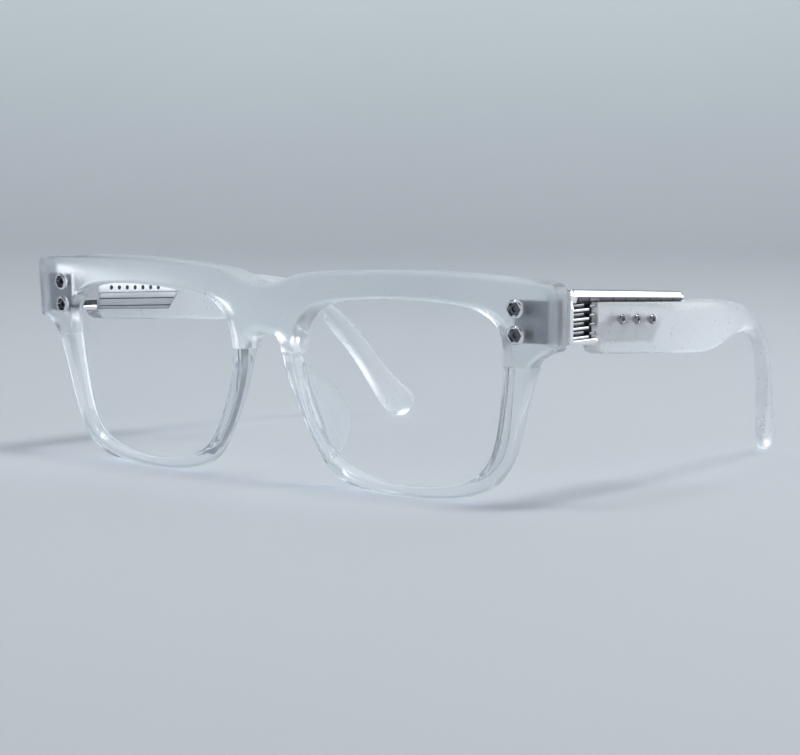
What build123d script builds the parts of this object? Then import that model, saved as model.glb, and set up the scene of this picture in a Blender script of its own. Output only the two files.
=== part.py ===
from build123d import *
import os
from math import cos, sin, radians, hypot

# Full-rim spectacles: frosted brow with endpieces, clear lower rims, two lenses,
# metal-trimmed temples on barrel hinges.  Millimetres.
# +Z up, +X to the wearer's left, the front faces -Y and the temples run to +Y.
# The piece stands on the two rim bottoms and the two temple tips, all at Z = 0.

# ---- driving dimensions -------------------------------------------------
Y_SHIFT = -62.256        # puts the overall box symmetric about Y = 0
FACE_R = 480.4            # radius of the front face, seen from above
FACE_TILT = 0.074         # forward lean of the front face per unit of height
FACE_Z = 25.0
BROW_REAR_Y = 6.3         # rear of the brow at the centre
BROW_REAR_R = 860.0
RIM_DEPTH = 5.4
RIM_STEP = 0.25           # lower rims sit this much behind the brow face
SEAM_Z = 29.1             # where brow and lower rims meet
HALF_WIDTH = 73.5
LENS_FRONT, LENS_T = 2.7, 2.0
GROOVE_GAP = 0.05
LENS_SEAT = 0.65          # lens edge reaches this far into the groove

SCREW_X, SCREW_Z = 64.4, (41.1, 35.8)
BEZEL_R, BEZEL_HEX_AF, BEZEL_PROUD, BEZEL_SINK = 1.95, 2.75, 0.35, 0.9

HINGE_X, HINGE_Y = 66.3, 11.3
HINGE_LOW, HINGE_HIGH = 35.9, 42.6
KNUCKLE_R = 1.55
HINGE_PIN_R, HINGE_BORE_R = 0.70, 0.74
KNUCKLE_GAP = 0.06

TEMPLE_FRONT_Y = 9.65
TEMPLE_T = 4.4            # temple thickness at the front
WINDOW = (11.1, 20.4, 34.75, 42.25)   # window of the metal frame: y0, y1, z0, z1
FIN_PITCH = 1.87
RIVET_Y, RIVET_Z, RIVET_R, RIVET_PROUD = (30.2, 36.3, 42.4), (38.0, 37.6, 37.2), 1.1, 0.35

os.makedirs("parts", exist_ok=True)


# ---- helpers ------------------------------------------------------------
def face_y(x, z, off=0.0):
    return x * x / (2 * FACE_R) - FACE_TILT * (z - FACE_Z) + off


def edges_of(chains, to3d):
    out = []
    for pts in chains:
        p = [to3d(*q) for q in pts]
        out.append(Line(p[0], p[1]) if len(p) == 2 else Spline(*p))
    return out


def prism(chains, to3d, vector):
    wires = Wire.combine([e for c in edges_of(chains, to3d) for e in c.edges()])
    return Solid.extrude(Face(wires[0]), Vector(*vector))


def front_prism(chains, y0=-12.0, y1=30.0):
    return prism(chains, lambda x, z: (x, y0, z), (0, y1 - y0, 0))


def side_prism(chains, x0=45.0, x1=80.0):
    return prism(chains, lambda y, z: (x0, y, z), (x1 - x0, 0, 0))


def arc_slab(y_front, r_front, y_back, r_back, tilt, half=82.0, z0=-6.0, z1=56.0):
    def pt(x, y, r):
        return (x, y + x * x / (2 * r) - tilt * (z0 - FACE_Z), z0)
    a = ThreePointArc(pt(-half, y_front, r_front), pt(0, y_front, r_front), pt(half, y_front, r_front))
    b = ThreePointArc(pt(-half, y_back, r_back), pt(0, y_back, r_back), pt(half, y_back, r_back))
    c = Line(pt(-half, y_front, r_front), pt(-half, y_back, r_back))
    d = Line(pt(half, y_front, r_front), pt(half, y_back, r_back))
    w = Wire.combine([e for s in (a, b, c, d) for e in s.edges()])
    h = z1 - z0
    return Solid.extrude(Face(w[0]), Vector(0, -tilt * h, h))


def block(x0, x1, y0, y1, z0, z1):
    return Solid.make_box(x1 - x0, y1 - y0, z1 - z0, Plane((x0, y0, z0)))


def cyl(origin, direction, r, length):
    return Solid.make_cylinder(r, length, Plane(origin, z_dir=direction))


def hex_prism(origin, direction, across_flats, length):
    pl = Plane(origin, z_dir=direction)
    f = Face(Wire.make_polygon([pl.from_local_coords((across_flats / 3 ** 0.5 * cos(radians(60 * k)),
                                                      across_flats / 3 ** 0.5 * sin(radians(60 * k)), 0))
                                for k in range(6)], close=True))
    d = Vector(*direction).normalized() * length
    return Solid.extrude(f, d)


def offset_points(pts, d):
    n, out = len(pts), []
    for i in range(n):
        (x0, y0), (x1, y1) = pts[i - 1], pts[(i + 1) % n]
        tx, ty = x1 - x0, y1 - y0
        s = hypot(tx, ty)
        out.append((pts[i][0] - ty / s * d, pts[i][1] + tx / s * d))
    return out


def closed_prism(pts, y0=-12.0, y1=30.0):
    sp = Spline(*[(x, y0, z) for x, z in pts], periodic=True)
    return Solid.extrude(Face(Wire([sp.edge()])), Vector(0, y1 - y0, 0))


def mirrored(s):
    return s.mirror(Plane.YZ)


def save(name, *solids):
    placed = [s.moved(Location((0, Y_SHIFT, 0))) for s in solids]
    flat = [t for s in placed for t in s.solids()]
    shape = flat[0] if len(flat) == 1 else Compound(children=flat)
    export_step(shape, "parts/" + name + ".step")
    made[name] = shape


made = {}

# ---- outlines, seen from the front (x, z) -------------------------------
TOP = [(0, 43.45), (2.6, 43.7), (5.6, 44.5), (8.6, 45.65), (12.4, 46.5), (20.4, 47.2), (31.0, 47.75),
       (43.0, 48.0), (54.0, 47.75), (62.5, 47.3), (71.3, 46.7)]
CORNER_TOP = [(71.3, 46.7), (72.85, 46.1), (73.5, 44.6)]
SIDE = [(73.5, 44.6), (73.4, 33.9)]
CORNER_LOW = [(73.4, 33.9), (73.0, 32.9), (72.0, 32.5)]
LOWER = [(72.0, 32.5), (70.3, 31.9), (68.3, 30.6), (66.8, 28.4), (65.6, 24.9), (64.2, 20.0), (62.3, 13.4),
         (59.7, 7.5), (56.7, 3.9), (53.0, 1.85), (47.8, 0.6), (40.7, 0.0), (33.5, 0.0), (27.5, 0.35),
         (23.0, 1.15), (19.4, 2.5), (16.8, 4.7), (14.2, 8.6), (11.2, 14.0), (8.5, 19.4), (6.5, 24.1),
         (5.4, 28.2), (4.7, 30.3), (3.2, 31.9), (0, 32.6)]
APERTURE = [(8.8, 30.9), (9.8, 34.8), (12.4, 38.1), (16.4, 39.95), (21.5, 40.8), (28.5, 41.5), (35.3, 41.8),
            (42.4, 41.8), (48.3, 41.5), (53.5, 40.8), (57.2, 39.4), (59.8, 37.4), (61.0, 34.4), (61.05, 31.0),
            (60.6, 25.7), (59.4, 18.2), (57.6, 11.2), (54.9, 7.0), (51.0, 4.6), (44.9, 3.0), (38.4, 2.35),
            (32.3, 2.4), (25.6, 3.6), (20.8, 5.3), (16.9, 7.9), (13.9, 11.8), (11.4, 17.0), (9.7, 22.4),
            (8.85, 27.0)]


def flip(pts):
    return [(-x, z) for x, z in reversed(pts)]


OUTLINE = [flip(TOP)[:-1] + TOP, CORNER_TOP, SIDE, CORNER_LOW, LOWER[:-1] + [LOWER[-1]] + flip(LOWER)[1:],
           flip(CORNER_LOW), flip(SIDE), flip(CORNER_TOP)]

outline = front_prism(OUTLINE)
aperture_l = closed_prism(APERTURE)
apertures = [aperture_l, mirrored(aperture_l)]
lens_l = closed_prism(offset_points(APERTURE, LENS_SEAT)) & arc_slab(LENS_FRONT, FACE_R, LENS_FRONT + LENS_T, FACE_R, FACE_TILT)
groove_l = closed_prism(offset_points(APERTURE, LENS_SEAT + GROOVE_GAP)) & arc_slab(
    LENS_FRONT - GROOVE_GAP, FACE_R, LENS_FRONT + LENS_T + GROOVE_GAP, FACE_R, FACE_TILT)
grooves = [groove_l, mirrored(groove_l)]

floor_cut = block(-90, 90, -20, 140, -5, 0)
above = block(-90, 90, -20, 140, SEAM_Z, 60)
below = block(-90, 90, -20, 140, -5, SEAM_Z)

front_space = arc_slab(0, FACE_R, 30, FACE_R, FACE_TILT)
rear_space = arc_slab(-30, BROW_REAR_R, BROW_REAR_Y, BROW_REAR_R, 0)

# ---- brow with endpieces and bridge -------------------------------------
brow = outline & front_space & rear_space & above
for cut in apertures + grooves:
    brow = brow - cut

# pocket for the hinge leaf in the rear of each endpiece, and the screw passages
LEAF = (62.4, 70.2, 34.2, 43.0)           # x0, x1, z0, z1
LEAF_Y0, LEAF_Y1 = 7.35, 8.55
pocket = block(LEAF[0] - 0.05, LEAF[1] + 0.05, LEAF_Y0, 14, LEAF[2] - 0.05, LEAF[3] + 0.05)
normal_in = Vector(-SCREW_X / FACE_R, 1, FACE_TILT).normalized()
bores, bezels, screws = [], [], []
for z in SCREW_Z:
    p = Vector(SCREW_X, face_y(SCREW_X, z), z)
    start = p - normal_in * BEZEL_PROUD
    n = tuple(normal_in)
    bores.append(cyl(tuple(p - normal_in * 2), n, BEZEL_R + 0.02, 2 + BEZEL_SINK))
    bores.append(cyl(tuple(p), n, 0.85, 12))
    ring = cyl(tuple(start), n, BEZEL_R, BEZEL_PROUD + BEZEL_SINK)
    ring = ring.chamfer(0.22, None, [e for e in ring.edges().filter_by(GeomType.CIRCLE)
                                     if (e.arc_center - start).length < 0.05])
    ring = ring - hex_prism(tuple(start - normal_in), n, BEZEL_HEX_AF, 4)
    bezels.append(ring)
    head = cyl(tuple(p + normal_in * 0.15), n, 1.28, BEZEL_SINK - 0.15)
    head = head.chamfer(0.18, None, [e for e in head.edges().filter_by(GeomType.CIRCLE)
                                     if (e.arc_center - (p + normal_in * 0.15)).length < 0.05])
    shank_len = (8.45 - p.Y - BEZEL_SINK) / normal_in.Y
    shank = cyl(tuple(p + normal_in * BEZEL_SINK), n, 0.75, shank_len)
    screw = (head + shank) - hex_prism(tuple(p - normal_in), n, 1.3, 1 + 0.65)
    screws.append(screw)

# front hinge leaf: plate let into the endpiece, with two knuckles
leaf = block(LEAF[0], LEAF[1], LEAF_Y0, LEAF_Y1, LEAF[2], LEAF[3])
n_knuckles = 5
pitch = (HINGE_HIGH - HINGE_LOW) / n_knuckles


def knuckle(i, length):
    z = HINGE_LOW + i * pitch
    return cyl((HINGE_X, HINGE_Y, z), (0, 0, 1), KNUCKLE_R, length)


front_knuckles, temple_knuckles = [], []
for i in range(n_knuckles):
    z0, z1 = HINGE_LOW + i * pitch + KNUCKLE_GAP / 2, HINGE_LOW + (i + 1) * pitch - KNUCKLE_GAP / 2
    barrel = cyl((HINGE_X, HINGE_Y, z0), (0, 0, 1), KNUCKLE_R, z1 - z0)
    if i % 2 == 0:
        web = block(HINGE_X - KNUCKLE_R, HINGE_X + 0.3, LEAF_Y1 - 0.2, HINGE_Y, z0, z1)
        front_knuckles.append(barrel + web)
    else:
        web = block(HINGE_X, 69.0 - 0.05, HINGE_Y - 0.3, HINGE_Y + KNUCKLE_R, z0, z1)
        temple_knuckles.append(barrel + web)
bore = cyl((HINGE_X, HINGE_Y, HINGE_LOW - 2), (0, 0, 1), HINGE_BORE_R, 12)
for k in front_knuckles:
    leaf = leaf + k
leaf = leaf - bore
for z in SCREW_Z:
    p = Vector(SCREW_X, face_y(SCREW_X, z), z)
    leaf = leaf - cyl(tuple(p), tuple(normal_in), 0.75, 12)

hinge_screw = cyl((HINGE_X, HINGE_Y, HINGE_LOW + 0.1), (0, 0, 1), HINGE_PIN_R, HINGE_HIGH - HINGE_LOW - 0.1)
screw_head = cyl((HINGE_X, HINGE_Y, HINGE_HIGH), (0, 0, 1), 1.25, 0.55)
slot = block(HINGE_X - 1.4, HINGE_X + 1.4, HINGE_Y - 0.16, HINGE_Y + 0.16, HINGE_HIGH + 0.25, HINGE_HIGH + 1)
hinge_screw = (hinge_screw + screw_head) - slot

brow_cuts = [pocket] + bores
for cut in brow_cuts:
    brow = brow - cut - mirrored(cut)

save("brow_front", brow)
for i, part in (("left", lambda s: s), ("right", mirrored)):
    save(i + "_front_screws", *[part(s) for s in screws])
    save(i + "_front_bezels", *[part(s) for s in bezels])
    save(i + "_front_hinge_leaf", part(leaf))
    save(i + "_hinge_screw", part(hinge_screw))
    save(i + "_lens", part(lens_l))

# ---- lower rims ---------------------------------------------------------
rim_space = arc_slab(RIM_STEP, FACE_R, RIM_DEPTH, FACE_R, FACE_TILT)
rims = (outline & rim_space & below) - apertures[0] - apertures[1] - grooves[0] - grooves[1] - floor_cut
rims = sorted(rims.solids(), key=lambda s: s.center().X)
right_rim, left_rim = rims[0], rims[-1]
save("left_lower_rim", left_rim)
save("right_lower_rim", right_rim)

# ---- nose pads: fins bonded to the nasal side of each rim ----------------
pad_plane = Plane((8.3, 4.2, 25.5), x_dir=(0.40, 0.0, -0.917), z_dir=Vector(0.40, 0.0, -0.917).cross(Vector(0.42, 0.90, 0)).normalized())
pad_pts = [(-2.5, 0), (0.5, 2.6), (4.0, 5.4), (8.5, 7.4), (13.0, 7.6), (17.0, 5.8), (20.0, 2.4), (21.0, 0)]
pad_edge = Spline(*[tuple(pad_plane.from_local_coords((a, b, 0))) for a, b in pad_pts])
pad_base = Line(pad_edge @ 1, pad_edge @ 0)
pad_face = Face(Wire.combine([pad_edge.edge(), pad_base.edge()])[0])
pn = pad_plane.z_dir
pad = Solid.extrude(pad_face.moved(Location(tuple(pn * -1.2))), pn * 2.4)
pad_room = closed_prism(offset_points(APERTURE, 1.5)) & arc_slab(-20, FACE_R, LENS_FRONT + LENS_T + 0.5, FACE_R, FACE_TILT)
pad = pad - pad_room - left_rim - brow
pad = sorted(pad.solids(), key=lambda s: -s.volume)[0]
save("left_nose_pad", pad)
save("right_nose_pad", mirrored(pad))

# ---- temples ------------------------------------------------------------
OUTER = [(4.0, 73.55), (9.6, 73.42), (35.0, 72.8), (60.0, 72.2), (70.0, 71.55), (80.0, 70.35), (90.0, 68.7),
         (100.0, 66.8), (110.0, 64.1), (120.0, 61.3), (130.0, 58.5)]
# below this height the drop leans inward: height and how far in, both in mm
LEAN = [(60.0, 0.0), (27.0, 0.0), (25.0, 0.05), (23.0, 0.2), (21.0, 0.44), (-4.0, 4.115)]


def plan_band(out, inner, y_taper=0.0):
    a = [(x + out, y, -4.0) for y, x in OUTER]
    b = [(x - inner + y_taper * max(0.0, (y - 60.0)) / 65.0, y, -4.0) for y, x in OUTER]
    e = [Spline(*a), Line(a[-1], b[-1]), Spline(*b), Line(b[0], a[0])]
    w = Wire.combine([k for s in e for k in s.edges()])
    return Solid.extrude(Face(w[0]), Vector(0, 0, 60))


def leaning_band(inner, y_taper):
    """The arm's thickness in plan, shifted inward height by height."""
    rings = []
    for z, shift in LEAN:
        a = [(x - shift, y, z) for y, x in OUTER]
        b = [(x - inner - shift + y_taper * max(0.0, (y - 60.0)) / 65.0, y, z) for y, x in OUTER]
        e = [Spline(*a), Line(a[-1], b[-1]), Spline(*b), Line(b[0], a[0])]
        rings.append(Wire.combine([k for s in e for k in s.edges()])[0])
    return Solid.make_loft(rings, ruled=True)


def bar_low(y):
    return 42.05 - 0.053 * (y - 20.5)


def bar_top(y):
    return 45.2 - 0.0607 * (y - 9.6)


FY = TEMPLE_FRONT_Y
ARM = [[(20.5, bar_low(20.5)), (55.4, bar_low(55.4))],
       [(55.4, bar_low(55.4)), (56.3, 40.32)],
       [(56.3, 40.32), (63.0, 40.25), (70.0, 39.95), (76.0, 39.4), (82.0, 38.7), (87.0, 37.9), (92.0, 36.6),
        (97.2, 34.1), (102.0, 30.9), (105.6, 28.3), (108.7, 25.5), (111.7, 22.1), (114.6, 18.3), (117.9, 13.8),
        (120.7, 10.5), (123.5, 7.9), (125.6, 5.6), (125.95, 3.7), (125.1, 1.75), (123.4, 0.45), (121.3, -0.05),
        (119.2, 0.65), (117.0, 2.7), (115.0, 5.8), (113.2, 9.1), (111.4, 12.4), (109.4, 15.7), (107.0, 19.1),
        (104.2, 22.5), (101.6, 25.6), (99.5, 27.9), (97.2, 29.6), (94.2, 30.75), (89.3, 31.3), (84.0, 31.1),
        (79.3, 30.2), (74.9, 29.1), (70.0, 28.55), (64.6, 28.5), (54.2, 29.1)],
       [(54.2, 29.1), (24.6, 31.05)],
       [(24.6, 31.05), (22.1, 31.5), (20.5, 33.3)],
       [(20.5, 33.3), (20.5, bar_low(20.5))]]
arm = side_prism(ARM) & leaning_band(TEMPLE_T, 0.9)
arm = arm - floor_cut

# polished metal frame: post, top bar with a bullet end, bottom rail
BAR = [[(FY, bar_top(FY)), (54.9, bar_top(54.9))],
       [(54.9, bar_top(54.9)), (56.0, 41.9), (56.25, 41.2), (55.9, 40.55), (55.0, bar_low(55.0))],
       [(55.0, bar_low(55.0)), (20.5, bar_low(20.5))],
       [(20.5, bar_low(20.5)), (20.5, 33.4)],
       [(20.5, 33.4), (FY, 33.8)],
       [(FY, 33.8), (FY, bar_top(FY))]]
bar = side_prism(BAR) & plan_band(0.12, TEMPLE_T)
wy0, wy1, wz0, wz1 = WINDOW
window = side_prism([[(wy0, wz0), (wy0, wz1)], [(wy0, wz1), (20.6, wz1)], [(20.6, wz1), (20.6, wz0)], [(20.6, wz0), (wy0, wz0)]])
bar = bar - window

# rib insert: back plate with long fins and short interlocking teeth
band_plate = plan_band(-1.5, TEMPLE_T)
insert = side_prism([[(wy0, wz0), (wy0, wz1)], [(wy0, wz1), (20.5, wz1)], [(20.5, wz1), (20.5, wz0)], [(20.5, wz0), (wy0, wz0)]]) & band_plate
band_fin = plan_band(-0.15, 2.0)
fin_z = [40.75 - FIN_PITCH * k for k in range(4)]
for z in fin_z:
    insert = insert + (block(60, 80, wy0, 17.3, z - 0.38, z + 0.38) & band_fin)
for z in [zz + FIN_PITCH / 2 for zz in fin_z]:
    insert = insert + (block(60, 80, wy0, 16.2, z - 0.16, z + 0.16) & plan_band(-0.75, 2.0))
for z in [zz + FIN_PITCH / 2 - 0.35 for zz in fin_z]:
    insert = insert + (block(60, 80, 18.0, 20.5, z - 0.42, z + 0.42) & band_fin)

# inner trim (polished) and inner plate (brushed), let into the arm's inner face
TRIM = [(20.5, 37.55), (20.5, 41.4), (50.6, 39.5), (48.0, 36.52)]
PLATE = [(20.5, 33.55), (20.5, 37.5), (47.97, 36.47), (45.0, 32.35)]


def poly_prism(pts, x0=45.0, x1=80.0):
    return side_prism([[pts[i], pts[(i + 1) % len(pts)]] for i in range(len(pts))], x0, x1)


band_inlay = plan_band(-(TEMPLE_T - 0.9), TEMPLE_T)
trim = poly_prism(TRIM) & band_inlay
plate = poly_prism(PLATE) & band_inlay
recess = plan_band(-(TEMPLE_T - 0.9), TEMPLE_T + 2)
arm = arm - (poly_prism([(20.4, 33.5), (20.4, 41.45), (50.68, 39.53), (45.0, 32.3)]) & recess)
for k in range(7):
    y = 25.2 + 2.65 * k
    z = 38.75 - 0.045 * (y - 20.5)
    trim = trim - (cyl((60, y, z), (1, 0, 0), 0.5, 20) & plan_band(-(TEMPLE_T - 0.35), TEMPLE_T + 2))
for frac in (0.36, 0.80):
    a = (20.3, 37.5 - frac * (37.5 - 33.55))
    b = (47.6, 36.47 - frac * (36.47 - 32.35))
    line = [(a[0], a[1] - 0.11), (a[0], a[1] + 0.11), (b[0], b[1] + 0.11), (b[0], b[1] - 0.11)]
    plate = plate - (poly_prism(line) & plan_band(-(TEMPLE_T - 0.2), TEMPLE_T + 2))

# rivets through the arm, with a domed head outside
rivets = []
for y, z in zip(RIVET_Y, RIVET_Z):
    x_out = 73.6 - 0.0245 * (y - 4)
    head = cyl((x_out - 0.6, y, z), (1, 0, 0), RIVET_R, 0.6 + RIVET_PROUD)
    head = head.chamfer(0.32, None, [e for e in head.edges().filter_by(GeomType.CIRCLE) if e.arc_center.X > x_out])
    shank = cyl((x_out - 3.0, y, z), (1, 0, 0), 0.7, 2.4)
    socket = hex_prism((x_out - 0.15, y, z), (1, 0, 0), 0.85, 3)
    rivets.append((head + shank) - socket)
    arm = arm - cyl((x_out - 0.6, y, z), (1, 0, 0), RIVET_R + 0.01, 4) - cyl((x_out - 3.0, y, z), (1, 0, 0), 0.71, 5)

# temple hinge leaf on the inner face
t_leaf = block(68.0, 68.95, 11.7, 20.3, 36.0, 42.0)
for k in temple_knuckles:
    t_leaf = t_leaf + k
inner_face = plan_band(20, TEMPLE_T + 0.02)
t_leaf = t_leaf - bore - (inner_face & block(67, 80, 5, 30, 30, 50))
bar = bar - floor_cut

for i, part in (("left", lambda s: s), ("right", mirrored)):
    save(i + "_temple_arm", part(arm))
    save(i + "_temple_bar", part(bar))
    save(i + "_rib_insert", part(insert))
    save(i + "_inner_trim", part(trim))
    save(i + "_inner_plate", part(plate))
    save(i + "_temple_rivets", *[part(s) for s in rivets])
    save(i + "_temple_hinge_leaf", part(t_leaf))

box = Compound(children=list(made.values())).bounding_box()
print("nodes", len(made), "box", box.min, box.max)
print("shift to add", -(box.min.Y + box.max.Y) / 2)
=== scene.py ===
import math

import bmesh
import bpy
import numpy as np
from mathutils import Matrix, Vector
from mathutils.geometry import delaunay_2d_cdt


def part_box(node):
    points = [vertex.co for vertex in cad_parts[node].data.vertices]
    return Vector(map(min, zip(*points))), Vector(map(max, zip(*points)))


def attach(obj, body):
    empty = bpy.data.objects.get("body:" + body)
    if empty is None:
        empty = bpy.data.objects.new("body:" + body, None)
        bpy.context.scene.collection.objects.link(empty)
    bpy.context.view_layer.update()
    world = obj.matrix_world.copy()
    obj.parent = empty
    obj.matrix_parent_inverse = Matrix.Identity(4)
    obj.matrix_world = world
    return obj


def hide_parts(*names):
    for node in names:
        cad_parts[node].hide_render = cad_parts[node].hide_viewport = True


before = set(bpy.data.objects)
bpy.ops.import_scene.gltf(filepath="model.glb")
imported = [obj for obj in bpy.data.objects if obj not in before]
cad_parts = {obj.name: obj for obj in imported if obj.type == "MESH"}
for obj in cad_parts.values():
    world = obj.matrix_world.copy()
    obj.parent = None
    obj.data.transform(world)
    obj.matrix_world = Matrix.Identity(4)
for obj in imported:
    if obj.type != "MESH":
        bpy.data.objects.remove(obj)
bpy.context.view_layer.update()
scene = bpy.context.scene

MM = 0.001
# the design's own Y = 0 (front face at the centre) sits at YS in the row frame
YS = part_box("left_front_hinge_leaf")[0][1] / MM - 7.35

FACE_R, FACE_TILT, FACE_Z = 480.4, 0.074, 25.0
BROW_REAR_Y, BROW_REAR_R = 6.3, 860.0
RIM_STEP, RIM_DEPTH = 0.25, 5.4
LENS_FRONT, LENS_T, LENS_SEAT = 2.7, 2.0, 0.62
SEAM_Z = 29.1
TEMPLE_T = 4.4
FY = 9.65
FIN_PITCH = 1.87

TOP = [(0, 43.45), (2.6, 43.7), (5.6, 44.5), (8.6, 45.65), (12.4, 46.5), (20.4, 47.2), (31.0, 47.75),
       (43.0, 48.0), (54.0, 47.75), (62.5, 47.3), (71.3, 46.7)]
CORNER_TOP = [(71.3, 46.7), (72.85, 46.1), (73.5, 44.6)]
SIDE = [(73.5, 44.6), (73.4, 33.9)]
CORNER_LOW = [(73.4, 33.9), (73.0, 32.9), (72.0, 32.5)]
LOWER = [(72.0, 32.5), (70.3, 31.9), (68.3, 30.6), (66.8, 28.4), (65.6, 24.9), (64.2, 20.0), (62.3, 13.4),
         (59.7, 7.5), (56.7, 3.9), (53.0, 1.85), (47.8, 0.6), (40.7, 0.0), (33.5, 0.0), (27.5, 0.35),
         (23.0, 1.15), (19.4, 2.5), (16.8, 4.7), (14.2, 8.6), (11.2, 14.0), (8.5, 19.4), (6.5, 24.1),
         (5.4, 28.2), (4.7, 30.3), (3.2, 31.9), (0, 32.6)]
APERTURE = [(8.8, 30.9), (9.8, 34.8), (12.4, 38.1), (16.4, 39.95), (21.5, 40.8), (28.5, 41.5), (35.3, 41.8),
            (42.4, 41.8), (48.3, 41.5), (53.5, 40.8), (57.2, 39.4), (59.8, 37.4), (61.0, 34.4), (61.05, 31.0),
            (60.6, 25.7), (59.4, 18.2), (57.6, 11.2), (54.9, 7.0), (51.0, 4.6), (44.9, 3.0), (38.4, 2.35),
            (32.3, 2.4), (25.6, 3.6), (20.8, 5.3), (16.9, 7.9), (13.9, 11.8), (11.4, 17.0), (9.7, 22.4),
            (8.85, 27.0)]
OUTER = [(4.0, 73.55), (9.6, 73.42), (35.0, 72.8), (60.0, 72.2), (70.0, 71.55), (80.0, 70.35), (90.0, 68.7),
         (100.0, 66.8), (110.0, 64.1), (120.0, 61.3), (130.0, 58.5)]


# ---- curves in the plane --------------------------------------------------
def spline(pts, step=0.6, closed=False):
    """A cubic spline through the points, sampled about every step."""
    p = np.array(pts, float)
    if len(p) == 2:
        n = max(1, int(math.ceil(np.linalg.norm(p[1] - p[0]) / step)))
        return p[0] + (p[1] - p[0]) * np.linspace(0, 1, n + 1)[:, None]
    pad = 5
    if closed:
        p = np.vstack([p[-pad:], p, p[:pad + 1]])
    t = np.r_[0, np.cumsum(np.linalg.norm(np.diff(p, axis=0), axis=1))]
    n = len(t)
    h = np.diff(t)
    a = np.zeros((n, n))
    b = np.zeros((n, p.shape[1]))
    a[0, 0] = a[-1, -1] = 1
    for i in range(1, n - 1):
        a[i, i - 1], a[i, i], a[i, i + 1] = h[i - 1], 2 * (h[i - 1] + h[i]), h[i]
        b[i] = 6 * ((p[i + 1] - p[i]) / h[i] - (p[i] - p[i - 1]) / h[i - 1])
    m = np.linalg.solve(a, b)
    out = []
    lo, hi = (pad, n - 1 - pad - 1) if closed else (0, n - 1)
    if closed:
        hi = n - 1 - pad
    for i in range(lo, hi):
        s = np.linspace(0, 1, 24, endpoint=False)[:, None] * h[i]
        out.append(((t[i + 1] - t[i] - s) ** 3 * m[i] + s ** 3 * m[i + 1]) / (6 * h[i])
                   + (p[i] / h[i] - m[i] * h[i] / 6) * (h[i] - s) + (p[i + 1] / h[i] - m[i + 1] * h[i] / 6) * s)
    dense = np.vstack(out + [p[hi:hi + 1]])
    s = np.r_[0, np.cumsum(np.linalg.norm(np.diff(dense, axis=0), axis=1))]
    k = max(2, int(round(s[-1] / step)))
    u = np.linspace(0, s[-1], k + 1)
    res = np.stack([np.interp(u, s, dense[:, j]) for j in range(p.shape[1])], 1)
    return res[:-1] if closed else res


def flip(pts):
    q = np.array(pts, float)[::-1].copy()
    q[:, 0] *= -1
    return q


def seg_nearest(p, line, closed=False):
    """Distance of each point to a polyline, and the place along it as (segment, share)."""
    a = line if closed else line[:-1]
    b = np.roll(line, -1, 0) if closed else line[1:]
    d = b - a
    dd = np.maximum((d ** 2).sum(1), 1e-12)
    best, where, share = np.empty(len(p)), np.empty(len(p), int), np.empty(len(p))
    for i in range(0, len(p), 1500):
        q = p[i:i + 1500]
        t = np.clip(((q[:, None] - a[None]) * d[None]).sum(2) / dd, 0, 1)
        e = q[:, None] - (a[None] + t[..., None] * d[None])
        r = (e ** 2).sum(2)
        k = r.argmin(1)
        idx = np.arange(len(q))
        best[i:i + 1500], where[i:i + 1500], share[i:i + 1500] = np.sqrt(r[idx, k]), k, t[idx, k]
    return best, where, share


def inside(p, loop):
    x, y = p[:, 0], p[:, 1]
    res = np.zeros(len(p), bool)
    x0, y0 = loop[:, 0], loop[:, 1]
    x1, y1 = np.roll(x0, -1), np.roll(y0, -1)
    for i in range(0, len(p), 4000):
        xs, ys = x[i:i + 4000, None], y[i:i + 4000, None]
        c = ((y0 > ys) != (y1 > ys)) & (xs < (x1 - x0) * (ys - y0) / np.where(y1 == y0, 1e-12, y1 - y0) + x0)
        res[i:i + 4000] = c.sum(1) % 2 == 1
    return res


def area2(loop):
    x, y = loop[:, 0], loop[:, 1]
    return float((x * np.roll(y, -1) - np.roll(x, -1) * y).sum())


def rounded(d, r):
    r = np.maximum(r, 1e-6)
    q = np.clip(r - d, 0, r)
    return r - np.sqrt(np.maximum(r * r - q * q, 0))


class Part:
    """One stretch of a slab's edge: its points, and the edge radii on the low and the high side."""

    def __init__(self, pts, low, high=None, group=0, step=0.6):
        self.pts = spline(pts, step) if step else np.array(pts, float)
        n = len(self.pts)
        high = low if high is None else high
        self.low = np.array([low(*q) for q in self.pts]) if callable(low) else np.full(n, float(low))
        self.high = np.array([high(*q) for q in self.pts]) if callable(high) else np.full(n, float(high))
        self.group = group


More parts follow.
